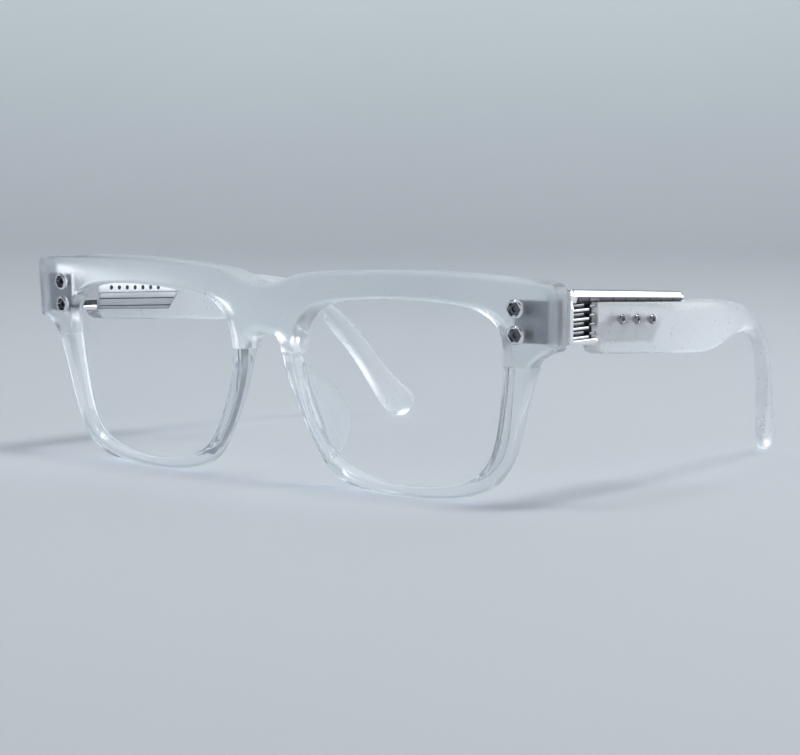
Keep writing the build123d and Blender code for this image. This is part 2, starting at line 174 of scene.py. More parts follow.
def slab(name, parts, low_h, high_h, place, grid=2.0, recesses=(), creases=(), pair=None, walls=2, wall_index=0):
    """A closed piece over the region that the parts bound. low_h and high_h give its two sides, and every edge is rounded.
    recesses: (loop, depth, "low" or "high", shift). creases: polylines that the mesh keeps. pair: groups whose distances give a narrow width."""
    loop = np.vstack([q.pts[:-1] for q in parts])
    if area2(loop) < 0:
        parts = [q for q in parts[::-1]]
        for q in parts:
            q.pts, q.low, q.high = q.pts[::-1].copy(), q.low[::-1].copy(), q.high[::-1].copy()
        loop = np.vstack([q.pts[:-1] for q in parts])

    def radius(p, side):
        """The rounding's depth at each point, summed over the edge stretches."""
        total = np.zeros(len(p))
        width = None
        near = {}
        for q in parts:
            d, k, s = seg_nearest(p, q.pts)
            r = (q.low if side == "low" else q.high)
            rr = r[k] * (1 - s) + r[k + 1] * s
            if q.group in near:
                old_d, old_r = near[q.group]
                take = d < old_d
                near[q.group] = (np.where(take, d, old_d), np.where(take, rr, old_r))
            else:
                near[q.group] = (d, rr)
        if pair:
            width = near[pair[0]][0] + near[pair[1]][0]
        for g, (d, r) in near.items():
            if width is not None and g in pair:
                r = np.minimum(r, 0.5 * width)
            total += rounded(d, r)
        return total

    # points: the edge, the rings behind it, recess loops, creases, and a grid
    pts, edges = [], []

    def add_loop(q, closed=True):
        start = sum(len(v) for v in pts)
        pts.append(q)
        n = len(q)
        edges.extend((start + i, start + (i + 1) % n) for i in range(n if closed else n - 1))

    add_loop(loop)
    n_edge = len(loop)
    holes = []
    for r in recesses:
        q = np.array(r[0], float)
        if area2(q) < 0:
            q = q[::-1]
        t = np.roll(q, -1, 0) - np.roll(q, 1, 0)
        t /= np.linalg.norm(t, axis=1)[:, None]
        inner = q + np.stack([-t[:, 1], t[:, 0]], 1) * 0.035
        add_loop(q)
        add_loop(inner)
        holes.append((q, inner, r))
    for c in creases:
        add_loop(np.array(c, float), closed=False)
    fixed = sum(len(v) for v in pts)
    all_edge = [q.pts for q in parts]

    def edge_distance(p):
        return np.min([seg_nearest(p, q)[0] for q in all_edge], axis=0)

    other = {}
    if pair:
        for g in pair:
            other[g] = [q.pts for q in parts if q.group in pair and q.group != g]
    free = []
    for q in parts:
        t = np.gradient(q.pts, axis=0)
        t /= np.maximum(np.linalg.norm(t, axis=1), 1e-9)[:, None]
        nrm = np.stack([-t[:, 1], t[:, 0]], 1)
        for radii in (q.low, q.high):
            r = radii.copy()
            if pair and q.group in pair:
                w = np.min([seg_nearest(q.pts, o)[0] for o in other[q.group]], axis=0)
                r = np.minimum(r, 0.5 * w)
            for phi in (14, 28, 42, 56, 72, 90):
                d = r * (1 - math.cos(math.radians(phi)))
                ok = d > 0.012
                c = (q.pts + nrm * d[:, None])[ok]
                if len(c):
                    c = c[inside(c, loop)]
                    # a ring keeps its distance from every edge
                if len(c):
                    dd = d[ok][:0]
                    free.append((c, d))
            if np.allclose(q.low, q.high):
                break
    cand = []
    for c, d in free:
        e = edge_distance(c)
        cand.append(c[e >= max(0.01, 0.9 * float(np.min(d[d > 0.012])))])
    lo, hi = loop.min(0), loop.max(0)
    gx, gy = np.meshgrid(np.arange(lo[0] + grid / 2, hi[0], grid), np.arange(lo[1] + grid / 2, hi[1], grid))
    g = np.stack([gx.ravel(), gy.ravel()], 1)
    g[:, 0] += 0.13 * grid * np.sin(g[:, 1] * 7.1)
    g = g[inside(g, loop)]
    rmax = max(max(q.low.max(), q.high.max()) for q in parts)
    if len(g):
        g = g[edge_distance(g) > rmax + 0.3 * grid]
        cand.append(g)
    extra = np.vstack(cand) if cand else np.zeros((0, 2))
    if len(extra):
        keep = np.ones(len(extra), bool)
        for q, inner, r in holes:
            keep &= (seg_nearest(extra, q, True)[0] > 0.12)
        for c in creases:
            keep &= seg_nearest(extra, np.array(c, float))[0] > 0.06
        extra = extra[keep]
        # drop near duplicates
        _, first = np.unique(np.round(extra / 0.03).astype(int), axis=0, return_index=True)
        extra = extra[np.sort(first)]
    pts.append(extra)
    co = np.vstack(pts)
    res = delaunay_2d_cdt([Vector(map(float, c)) for c in co], edges, [], 1, 1e-6, True)
    verts = np.array([(v.x, v.y) for v in res[0]])
    tri = [f for f in res[2] if len(f) >= 3]
    cen = np.array([verts[list(f)].mean(0) for f in tri])
    ok = inside(cen, loop)
    tri = [f for f, k in zip(tri, ok) if k]
    orig = res[3]
    edge_of = {}
    for i, src in enumerate(orig):
        for s in src:
            if s < n_edge:
                edge_of[s] = i
    used = sorted({i for f in tri for i in f})

    rl, rh = radius(verts, "low"), radius(verts, "high")
    l, h = low_h(verts[:, 0], verts[:, 1]), high_h(verts[:, 0], verts[:, 1])
    mid = 0.5 * (l + h)
    low = np.minimum(l + rl, mid - 0.01)
    high = np.maximum(h - rh, mid + 0.01)
    a_low, a_high = verts.copy(), verts.copy()
    for q, inner, r in holes:
        inn = inside(verts, inner) | (seg_nearest(verts, inner, True)[0] < 0.012)
        shift = r[3] if len(r) > 3 else (0, 0)
        if r[2] == "low":
            low = np.where(inn, low + r[1], low)
            a_low = a_low + inn[:, None] * np.array(shift) * r[1]
        else:
            high = np.where(inn, high - r[1], high)
            a_high = a_high + inn[:, None] * np.array(shift) * r[1]
    bm = bmesh.new()
    low_v, high_v = {}, {}
    for i in used:
        low_v[i] = bm.verts.new(place(a_low[i, 0], a_low[i, 1], low[i]))
        high_v[i] = bm.verts.new(place(a_high[i, 0], a_high[i, 1], high[i]))
    marks = []
    for q, inner, r in holes:
        if len(r) > 4:
            marks.append((inside(np.array([verts[list(f)].mean(0) for f in tri]), q), r[2], r[4]))
    for n_f, f in enumerate(tri):
        lo_f = bm.faces.new([low_v[i] for i in f])
        hi_f = bm.faces.new([high_v[i] for i in reversed(f)])
        for hit, which, index in marks:
            if hit[n_f]:
                (lo_f if which == "low" else hi_f).material_index = index
    rings = []
    order = [edge_of[s] for s in range(n_edge)]
    for s in range(1, walls):
        k = s / walls
        rings.append([bm.verts.new(low_v[i].co.lerp(high_v[i].co, k)) for i in order])
    columns = [[low_v[i] for i in order]] + rings + [[high_v[i] for i in order]]
    for a, b in zip(columns[:-1], columns[1:]):
        for i in range(n_edge):
            j = (i + 1) % n_edge
            try:
                bm.faces.new((a[j], a[i], b[i], b[j])).material_index = wall_index
            except ValueError:
                pass
    bmesh.ops.recalc_face_normals(bm, faces=bm.faces)
    return finish_mesh(name, bm)


def finish_mesh(name, bm, sharp=34, smooth=True):
    mesh = bpy.data.meshes.new(name)
    bm.to_mesh(mesh)
    bm.free()
    mesh.polygons.foreach_set("use_smooth", [smooth] * len(mesh.polygons))
    mesh.update()
    if smooth and sharp:
        mesh.set_sharp_from_angle(angle=math.radians(sharp))
    o = bpy.data.objects.new(name, mesh)
    scene.collection.objects.link(o)
    return o


def mirrored(o, name):
    mesh = o.data.copy()
    mesh.name = name
    mesh.transform(Matrix.Diagonal((-1, 1, 1, 1)))
    mesh.flip_normals()
    c = bpy.data.objects.new(name, mesh)
    scene.collection.objects.link(c)
    return c


# ---- materials ------------------------------------------------------------
class Nodes:
    def __init__(self, name):
        self.m = bpy.data.materials.new(name)
        self.m.use_nodes = True
        self.t = self.m.node_tree
        self.t.nodes.clear()
        self.out = self.t.nodes.new("ShaderNodeOutputMaterial")
        self.coord = self.t.nodes.new("ShaderNodeTexCoord")

    def new(self, kind, **kw):
        n = self.t.nodes.new(kind)
        for k, v in kw.items():
            setattr(n, k, v)
        return n

    def link(self, a, b):
        self.t.links.new(a, b)

    def noise(self, scale, detail=4.0, rough=0.55, stretch=None, seed=0.0):
        n = self.new("ShaderNodeTexNoise")
        n.inputs["Scale"].default_value = scale
        n.inputs["Detail"].default_value = detail
        n.inputs["Roughness"].default_value = rough
        m = self.new("ShaderNodeMapping")
        m.inputs["Location"].default_value = (seed, seed * 0.7, seed * 1.3)
        if stretch:
            m.inputs["Scale"].default_value = stretch
        self.link(self.coord.outputs["Object"], m.inputs["Vector"])
        self.link(m.outputs["Vector"], n.inputs["Vector"])
        return n.outputs["Fac"]

    def ramp(self, value, lo, hi, a, b):
        r = self.new("ShaderNodeMapRange")
        r.inputs["From Min"].default_value, r.inputs["From Max"].default_value = lo, hi
        r.inputs["To Min"].default_value, r.inputs["To Max"].default_value = a, b
        self.link(value, r.inputs["Value"])
        return r.outputs["Result"]

    def colour(self, value, lo, hi, a, b):
        r = self.new("ShaderNodeValToRGB")
        r.color_ramp.elements[0].position, r.color_ramp.elements[1].position = lo, hi
        r.color_ramp.elements[0].color, r.color_ramp.elements[1].color = (*a, 1), (*b, 1)
        self.link(value, r.inputs["Fac"])
        return r.outputs["Color"]

    def bump(self, value, strength, distance):
        b = self.new("ShaderNodeBump")
        b.inputs["Strength"].default_value = strength
        b.inputs["Distance"].default_value = distance
        self.link(value, b.inputs["Height"])
        return b.outputs["Normal"]


def acetate(name, tint_a, tint_b, rough_a, rough_b, transmission, bump, shadow, scale=1.0, coat=0.0, ior=1.49):
    """Cellulose acetate: faint cloudy colour, fine surface grain, and light passing through."""
    n = Nodes(name)
    p = n.new("ShaderNodeBsdfPrincipled")
    p.inputs["IOR"].default_value = ior
    p.inputs["Transmission Weight"].default_value = transmission
    p.inputs["Coat Weight"].default_value = coat
    p.inputs["Coat Roughness"].default_value = 0.04
    cloud = n.noise(38.0 * scale, 3.0, 0.5, seed=3.1)
    n.link(n.colour(cloud, 0.35, 0.68, tint_a, tint_b), p.inputs["Base Color"])
    fine = n.noise(900.0 * scale, 4.0, 0.6, seed=1.7)
    n.link(n.ramp(fine, 0.3, 0.7, rough_a, rough_b), p.inputs["Roughness"])
    grain = n.noise(2600.0 * scale, 2.0, 0.6, seed=8.2)
    n.link(n.bump(grain, bump, 0.00012), p.inputs["Normal"])
    mix = n.new("ShaderNodeMixShader")
    path = n.new("ShaderNodeLightPath")
    clear = n.new("ShaderNodeBsdfTransparent")
    clear.inputs["Color"].default_value = (*shadow, 1)
    n.link(path.outputs["Is Shadow Ray"], mix.inputs["Fac"])
    n.link(p.outputs["BSDF"], mix.inputs[1])
    n.link(clear.outputs["BSDF"], mix.inputs[2])
    n.link(mix.outputs["Shader"], n.out.inputs["Surface"])
    return n.m


def metal(name, base_a, base_b, rough_a, rough_b, bump=0.05, stretch=None, scale=500.0):
    n = Nodes(name)
    p = n.new("ShaderNodeBsdfPrincipled")
    p.inputs["Metallic"].default_value = 1.0
    v = n.noise(scale, 4.0, 0.6, stretch, seed=5.3)
    n.link(n.colour(v, 0.3, 0.72, base_a, base_b), p.inputs["Base Color"])
    w = n.noise(scale * 1.7, 5.0, 0.65, stretch, seed=2.2)
    n.link(n.ramp(w, 0.3, 0.72, rough_a, rough_b), p.inputs["Roughness"])
    n.link(n.bump(w, bump, 0.00004), p.inputs["Normal"])
    n.link(p.outputs["BSDF"], n.out.inputs["Surface"])
    return n.m


def glass(name):
    """A coated plano lens: clear, with the faintest smears."""
    n = Nodes(name)
    p = n.new("ShaderNodeBsdfPrincipled")
    p.inputs["IOR"].default_value = 1.5
    p.inputs["Transmission Weight"].default_value = 1.0
    v = n.noise(46.0, 4.0, 0.6, seed=4.4)
    n.link(n.colour(v, 0.3, 0.7, (0.962, 0.975, 0.982), (0.985, 0.992, 0.995)), p.inputs["Base Color"])
    n.link(n.ramp(v, 0.52, 0.8, 0.0, 0.035), p.inputs["Roughness"])
    fine = n.noise(120.0, 2.0, 0.5, seed=7.7)
    n.link(n.bump(fine, 0.01, 0.00005), p.inputs["Normal"])
    mix = n.new("ShaderNodeMixShader")
    path = n.new("ShaderNodeLightPath")
    clear = n.new("ShaderNodeBsdfTransparent")
    clear.inputs["Color"].default_value = (0.93, 0.945, 0.955, 1)
    n.link(path.outputs["Is Shadow Ray"], mix.inputs["Fac"])
    n.link(p.outputs["BSDF"], mix.inputs[1])
    n.link(clear.outputs["BSDF"], mix.inputs[2])
    n.link(mix.outputs["Shader"], n.out.inputs["Surface"])
    return n.m


FROST = acetate("frosted_acetate", (0.90, 0.93, 0.96), (0.955, 0.975, 0.99), 0.27, 0.36, 0.95, 0.035, (0.80, 0.82, 0.85))
MILKY = acetate("milky_acetate", (0.91, 0.935, 0.955), (0.96, 0.97, 0.98), 0.26, 0.38, 0.86, 0.03, (0.74, 0.77, 0.80), coat=0.3)
CLEAR = acetate("clear_acetate", (0.93, 0.955, 0.975), (0.97, 0.985, 0.995), 0.09, 0.16, 0.90, 0.02, (0.84, 0.86, 0.89), coat=1.0, ior=1.13)
GLASS = glass("lens_glass")
POLISHED = metal("polished_metal", (0.80, 0.81, 0.83), (0.90, 0.91, 0.92), 0.04, 0.11)
SATIN = metal("satin_metal", (0.88, 0.89, 0.90), (0.95, 0.955, 0.96), 0.24, 0.36, 0.08, (1, 0.2, 1), 700.0)
BRUSHED = metal("brushed_metal", (0.30, 0.315, 0.34), (0.42, 0.44, 0.47), 0.28, 0.42, 0.15, (1, 0.03, 1), 900.0)
# darker copy of the polished metal: painted shade and painted dark reflection on bar facets, comb strips and teeth, and
# rivet heads
PAINTED_SHADE_METAL = metal("shaded_metal", (0.24, 0.25, 0.27), (0.36, 0.37, 0.39), 0.10, 0.2)
# near-black copy of the metal for the front screws in their recesses: painted shade
PAINTED_RECESS_SHADE_METAL = metal("painted_recess_shade_metal", (0.13, 0.135, 0.15), (0.21, 0.22, 0.235), 0.26, 0.42)
# near-black metal for recess floors, the band under the bar, the window walls and the comb's back plate: painted shade
PAINTED_DEEP_SHADE = metal("painted_deep_shade_recess", (0.02, 0.022, 0.025), (0.06, 0.062, 0.068), 0.4, 0.6)
GROUND = acetate("ground_lens_edge", (0.80, 0.83, 0.86), (0.90, 0.92, 0.94), 0.35, 0.5, 0.8, 0.05, (0.80, 0.82, 0.85), ior=1.15)


def dress(o, material, body, slot, *nodes):
    o.data.materials.append(material)
    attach(o, body)
    if nodes:
        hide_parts(*nodes)
    return o


# ---- front ----------------------------------------------------------------
def face_y(x, z):
    return x * x / (2 * FACE_R) - FACE_TILT * (z - FACE_Z)


def at_front(x, z, y):
    return Vector((x * MM, (y + YS) * MM, max(z, 0.0) * MM))


def clip_between(curve, keep):
    """The longest run of a sampled curve for which keep(point) holds."""
    ok = np.array([keep(q) for q in curve])
    runs, start = [], None
    for i, k in enumerate(ok):
        if k and start is None:
            start = i
        if not k and start is not None:
            runs.append((start, i))
            start = None
    if start is not None:
        runs.append((start, len(ok)))
    a, b = max(runs, key=lambda r: r[1] - r[0])
    return curve[a:b]


def cross_z(curve, z):
    """Points where a sampled curve crosses a height."""
    out = []
    for a, b in zip(curve[:-1], curve[1:]):
        if (a[1] - z) * (b[1] - z) <= 0 and a[1] != b[1]:
            t = (z - a[1]) / (b[1] - a[1])
            out.append(a + (b - a) * t)
    return out


STEP = 0.55
lower_full = spline(list(LOWER) + [(-x, z) for x, z in LOWER[-2::-1]], 0.35)
aperture = spline(APERTURE, 0.5, closed=True)
top_full = spline([(-x, z) for x, z in TOP[:0:-1]] + list(TOP), STEP)


def above_part(curve, z, closed=False):
    """The stretch of a closed curve above z, with exact ends on z, in order."""
    n = len(curve)
    k = int(np.argmin(curve[:, 1]))
    c = np.vstack([curve[k:], curve[:k + 1]])
    ends = cross_z(c, z)
    body = clip_between(c, lambda q: q[1] > z + 0.02)
    if np.linalg.norm(ends[0] - body[0]) > np.linalg.norm(ends[-1] - body[0]):
        ends = ends[::-1]
    return np.vstack([ends[0], body, ends[-1]])


def below_part(curve, z):
    k = int(np.argmax(curve[:, 1]))
    c = np.vstack([curve[k:], curve[:k + 1]])
    ends = cross_z(c, z)
    body = clip_between(c, lambda q: q[1] < z - 0.02)
    if np.linalg.norm(ends[0] - body[0]) > np.linalg.norm(ends[-1] - body[0]):
        ends = ends[::-1]
    return np.vstack([ends[0], body, ends[-1]])


GAP = 0.02
zb, zr = SEAM_Z + GAP, SEAM_Z - GAP
left_half = lower_full[lower_full[:, 0] >= -1e-9]
# outer edge from the low corner down to the seam, and the arch between the two seams
outer_up = clip_between(left_half, lambda q: q[1] > zb + 0.02 and q[0] > 30)
outer_up = np.vstack([outer_up, [c for c in cross_z(left_half, zb) if c[0] > 30][:1]])
arch = clip_between(lower_full, lambda q: q[1] > zb + 0.02 and abs(q[0]) < 9)
arch_l = [c for c in cross_z(lower_full, zb) if 0 < c[0] < 9][0]
arch_r = [c for c in cross_z(lower_full, zb) if -9 < c[0] < 0][0]
arch = np.vstack([arch_l, arch, arch_r])
hole_up = above_part(aperture, zb)
if hole_up[0][0] < hole_up[-1][0]:
    hole_up = hole_up[::-1].copy()       # from the temporal side to the nasal side


def seg(a, b):
    return spline([a, b], STEP)


def arch_radius(x, z):
    return 1.15 + 1.75 * max(0.0, min(1.0, (6.5 - abs(x)) / 4.0)) * max(0.0, min(1.0, (z - 29.0) / 2.2))


E_LOW, E_HIGH = 1.05, 1.0
parts = [
    Part(top_full, E_LOW, E_HIGH, 0, None),
    Part(CORNER_TOP, E_LOW, E_HIGH, 0, 0.3),
    Part(SIDE, 1.25, 0.9, 0, STEP),
    Part(CORNER_LOW, 1.15, 0.9, 0, 0.3),
    Part(outer_up, 1.15, 0.9, 0, None),
    Part(seg(outer_up[-1], hole_up[0]), 0.11, 0.11, 2, None),
    Part(hole_up, 0.85, 0.8, 1, None),
    Part(seg(hole_up[-1], arch[0]), 0.11, 0.11, 2, None),
    Part(arch, arch_radius, lambda x, z: 0.8 * arch_radius(x, z), 0, None),
    Part(seg(arch[-1], flip([hole_up[-1]])[0]), 0.11, 0.11, 3, None),
    Part(flip(hole_up), 0.85, 0.8, 1, None),
    Part(seg(flip([hole_up[0]])[0], flip([outer_up[-1]])[0]), 0.11, 0.11, 3, None),
    Part(flip(outer_up), 1.15, 0.9, 0, None),
    Part(flip(spline(CORNER_LOW, 0.3)), 1.15, 0.9, 0, None),
    Part(flip(spline(SIDE, STEP)), 1.25, 0.9, 0, None),
    Part(flip(spline(CORNER_TOP, 0.3)), E_LOW, E_HIGH, 0, None),
]

SCREW_X, SCREW_Z = 64.4, (41.1, 35.8)
nrm = np.array((-SCREW_X / FACE_R, 1, FACE_TILT))
nrm /= np.linalg.norm(nrm)
ang = np.linspace(0, 2 * math.pi, 48, endpoint=False)
recesses = []
for s in (1, -1):
    for z in SCREW_Z:
        c = np.stack([s * SCREW_X + 1.965 * np.cos(ang), z + 1.965 * np.sin(ang)], 1)
        recesses.append((c, 0.9, "low", (s * nrm[0] / nrm[1], nrm[2] / nrm[1])))
    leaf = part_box(("left" if s > 0 else "right") + "_front_hinge_leaf")
    x0, x1, z0, z1 = leaf[0][0] / MM - 0.05, leaf[1][0] / MM + 0.05, leaf[0][2] / MM - 0.05, leaf[1][2] / MM + 0.05
    q = np.vstack([spline([a, b], 0.8)[:-1] for a, b in (((x0, z0), (x1, z0)), ((x1, z0), (x1, z1)), ((x1, z1), (x0, z1)), ((x0, z1), (x0, z0)))])
    recesses.append((q, 1.62, "high"))

brow = slab("brow_shell", parts, lambda x, z: face_y(x, z), lambda x, z: BROW_REAR_Y + x * x / (2 * BROW_REAR_R),
            at_front, grid=2.2, recesses=recesses)
dress(brow, FROST, "front", "frosted_acetate", "brow_front")

# lower rims
outer_low = below_part(np.vstack([left_half, [(0, 40.0)]]), zr) if False else None
lo_body = clip_between(left_half, lambda q: q[1] < zr - 0.02)
ends = [c for c in cross_z(left_half, zr)]
lo_curve = np.vstack([max(ends, key=lambda c: c[0]), lo_body, min(ends, key=lambda c: c[0])])
hole_low = below_part(aperture, zr)
if hole_low[0][0] > hole_low[-1][0]:
    hole_low = hole_low[::-1].copy()     # from the nasal side to the temporal side


def near_seam(z):
    """1 at the seam, 0 from 7 mm below it."""
    return max(0.0, min(1.0, 1 - (SEAM_Z - z) / 7.0))


rim_parts = [
    Part(lo_curve, lambda x, z: 1.75 - 0.6 * near_seam(z), lambda x, z: 1.6 - 0.7 * near_seam(z), 0, None),
    Part(seg(lo_curve[-1], hole_low[0]), 0.12, 0.12, 2, None),
    Part(hole_low, lambda x, z: 1.3 - 0.45 * near_seam(z), lambda x, z: 1.1 - 0.3 * near_seam(z), 1, None),
    Part(seg(hole_low[-1], lo_curve[0]), 0.12, 0.12, 3, None),
]
rim = slab("left_rim_shell", rim_parts, lambda x, z: face_y(x, z) + 0.02, lambda x, z: face_y(x, z) + RIM_DEPTH,
           at_front, grid=1.4, pair=(0, 1))
rim_r = mirrored(rim, "right_rim_shell")
dress(rim, CLEAR, "front", "clear_acetate", "left_lower_rim")
dress(rim_r, CLEAR, "front", "clear_acetate", "right_lower_rim")

# lenses
lens_loop = aperture.copy()
if area2(lens_loop) < 0:
    lens_loop = lens_loop[::-1]
t = np.roll(lens_loop, -1, 0) - np.roll(lens_loop, 1, 0)
t /= np.linalg.norm(t, axis=1)[:, None]
lens_loop = lens_loop + np.stack([t[:, 1], -t[:, 0]], 1) * LENS_SEAT
lens_curve = np.vstack([lens_loop, lens_loop[:1]])
lens = slab("left_lens_blank", [Part(lens_curve, 0.3, 0.3, 0, None)], lambda x, z: face_y(x, z) + LENS_FRONT,
            lambda x, z: face_y(x, z) + LENS_FRONT + LENS_T, at_front, grid=2.4, wall_index=1)
lens.data.set_sharp_from_angle(angle=math.radians(3))
lens_r = mirrored(lens, "right_lens_blank")
dress(lens, GLASS, "front", "lens", "left_lens")
dress(lens_r, GLASS, "front", "lens", "right_lens")
lens.data.materials.append(GROUND)
lens_r.data.materials.append(GROUND)

# nose pads
px = Vector((0.40, 0.0, -0.917)).normalized()
pn = px.cross(Vector((0.42, 0.90, 0))).normalized()
py = pn.cross(px).normalized()
po = Vector((8.3, 4.2, 25.5))
PAD = [(-2.5, 0), (0.5, 2.6), (4.0, 5.4), (8.5, 7.4), (13.0, 7.6), (17.0, 5.8), (20.0, 2.4), (21.0, 0)]


def at_pad(a, b, h):
    p = po + px * a + py * b + pn * h
    return Vector((p.x * MM, (p.y + YS) * MM, p.z * MM))


pad = slab("left_pad_fin", [Part(PAD, 1.05, 1.05, 0, 0.5), Part([PAD[-1], PAD[0]], 0.02, 0.02, 1, 0.5)],
           lambda a, b: -1.2 + 0 * a, lambda a, b: 1.2 + 0 * a, at_pad, grid=1.5)
pad_r = mirrored(pad, "right_pad_fin")
dress(pad, CLEAR, "front", "clear_acetate", "left_nose_pad")
dress(pad_r, CLEAR, "front", "clear_acetate", "right_nose_pad")

# ---- temples ----------------------------------------------------------------
outer_dense = spline([(y, x) for y, x in OUTER], 0.5)


def x_out(y):
    return np.interp(y, outer_dense[:, 0], outer_dense[:, 1])


def x_in(y):
    return x_out(y) - TEMPLE_T + 0.9 * np.maximum(0.0, (np.asarray(y, float) - 60.0)) / 65.0


def at_temple(y, z, x):
    return Vector((x * MM, (y + YS) * MM, max(z, 0.0) * MM))


def lean(z):
    """How far inward the drop has moved at a height."""
    t = np.clip((27.0 - np.asarray(z, float)) / 6.0, 0, 1)
    return 0.147 * 3.0 * t * t + 0.147 * np.maximum(0, 21.0 - np.asarray(z, float))


def bar_low(y):
    return 42.05 - 0.053 * (y - 20.5)


def bar_top(y):
    return 45.2 - 0.0607 * (y - 9.6)


ARM_TOP = [(56.3, 40.32), (63.0, 40.25), (70.0, 39.95), (76.0, 39.4), (82.0, 38.7), (87.0, 37.9), (92.0, 36.6),
           (97.2, 34.1), (102.0, 30.9), (105.6, 28.3), (108.7, 25.5), (111.7, 22.1), (114.6, 18.3), (117.9, 13.8),
           (120.7, 10.5), (123.5, 7.9), (125.6, 5.6), (125.95, 3.7), (125.1, 1.75), (123.4, 0.45), (121.3, 0.0),
           (119.2, 0.65), (117.0, 2.7), (115.0, 5.8), (113.2, 9.1), (111.4, 12.4), (109.4, 15.7), (107.0, 19.1),
           (104.2, 22.5), (101.6, 25.6), (99.5, 27.9), (97.2, 29.6), (94.2, 30.75), (89.3, 31.3), (84.0, 31.1),
           (79.3, 30.2), (74.9, 29.1), (70.0, 28.55), (64.6, 28.5), (54.2, 29.1)]


def arm_radius(y, z):
    return 0.9 + 0.75 * max(0.0, min(1.0, (y - 58.0) / 14.0))


arm_parts = [
    Part([(20.5, bar_low(20.5)), (55.4, bar_low(55.4))], 0.12, 0.12, 0, 0.8),
    Part([(55.4, bar_low(55.4)), (56.3, 40.32)], 0.2, 0.2, 0, 0.5),
    Part(ARM_TOP, arm_radius, arm_radius, 1, 0.6),
    Part([(54.2, 29.1), (24.6, 31.05)], 1.1, 1.1, 1, 0.8),
    Part([(24.6, 31.05), (22.1, 31.5), (20.5, 33.3)], 0.8, 0.8, 1, 0.3),
    Part([(20.5, 33.3), (20.5, bar_low(20.5))], 0.12, 0.12, 2, 0.8),
]
IN_Y = 20.95
TRIM = [(IN_Y, 37.55), (IN_Y, 41.35), (50.6, 39.45), (48.0, 36.52)]
PLATE = [(IN_Y, 33.6), (IN_Y, 37.45), (47.97, 36.44), (45.0, 32.4)]
POCKET = [(IN_Y - 0.06, 33.54), (IN_Y - 0.06, 41.42), (50.72, 39.51), (45.03, 32.34)]


def poly_loop(pts, step):
    return np.vstack([spline([pts[i], pts[(i + 1) % len(pts)]], step)[:-1] for i in range(len(pts))])


arm = slab("left_temple_shell", arm_parts, lambda y, z: x_in(y) - lean(z), lambda y, z: x_out(y) - lean(z), at_temple, grid=2.0,
           recesses=[(poly_loop(POCKET, 1.2), 0.92, "low")])
arm_r = mirrored(arm, "right_temple_shell")
dress(arm, MILKY, "left_temple", "frosted_acetate", "left_temple_arm")
dress(arm_r, MILKY, "right_temple", "frosted_acetate", "right_temple_arm")


# inner trim with its dimples, and the grooved inner plate; the dimple and groove floors take painted shade
def poly_parts(pts, r, step=0.8):
    return [Part([pts[i], pts[(i + 1) % len(pts)]], r, r, i, step) for i in range(len(pts))]


dimples = []
for k in range(7):
    y = 25.2 + 2.65 * k
    z = 38.75 - 0.045 * (y - 20.5)
    dimples.append((np.stack([y + 0.55 * np.cos(ang[::2]), z + 0.55 * np.sin(ang[::2])], 1), 0.45, "low", (0, 0), 1))
trim = slab("left_trim_strip", poly_parts(TRIM, 0.1), lambda y, z: x_in(y) - 0.0, lambda y, z: x_out(y) - TEMPLE_T + 0.88, at_temple,
            grid=1.5, recesses=dimples)
trim_r = mirrored(trim, "right_trim_strip")
dress(trim, SATIN, "left_temple", "polished_metal", "left_inner_trim")
dress(trim_r, SATIN, "right_temple", "polished_metal", "right_inner_trim")
# dimple floors painted near-black: painted shade
trim.data.materials.append(PAINTED_DEEP_SHADE)
trim_r.data.materials.append(PAINTED_DEEP_SHADE)
grooves = []
for frac in (0.36, 0.80):
    a = (IN_Y + 0.3, 37.45 - frac * 3.85)
    b = (47.3 - 2.2 * frac, 36.46 - frac * 4.0)
    line = [(a[0], a[1] - 0.13), (b[0], b[1] - 0.13), (b[0], b[1] + 0.13), (a[0], a[1] + 0.13)]
    grooves.append((poly_loop(line, 1.0), 0.25, "low", (0, 0), 1))
plate = slab("left_plate_inlay", poly_parts(PLATE, 0.08), lambda y, z: x_in(y) - 0.0, lambda y, z: x_out(y) - TEMPLE_T + 0.88, at_temple,
             grid=1.5, recesses=grooves)
plate_r = mirrored(plate, "right_plate_inlay")
dress(plate, BRUSHED, "left_temple", "brushed_metal", "left_inner_plate")
dress(plate_r, BRUSHED, "right_temple", "brushed_metal", "right_inner_plate")
# groove floors painted near-black: painted shade
plate.data.materials.append(PAINTED_DEEP_SHADE)
plate_r.data.materials.append(PAINTED_DEEP_SHADE)


# polished frame: post, faceted top bar with a bullet end, bottom rail; some facets carry painted shade and painted
# reflection
def ridge(y):
    return bar_low(y) + 0.44 * (bar_top(y) - bar_low(y))


def bar_face(y, z):
    y, z = np.asarray(y, float), np.asarray(z, float)
    m = np.clip((y - 10.2) / 1.3, 0, 1)
    up = 0.34 * np.maximum(0, z - ridge(y))
    down = 0.38 * np.clip(ridge(y) - z, 0, 1.1) * (z > bar_low(y) - 1.2)
    fade = np.clip((z - (bar_low(y) - 1.2)) / 1.2, 0, 1)
    return x_out(y) + 0.12 - m * (up + down * fade)


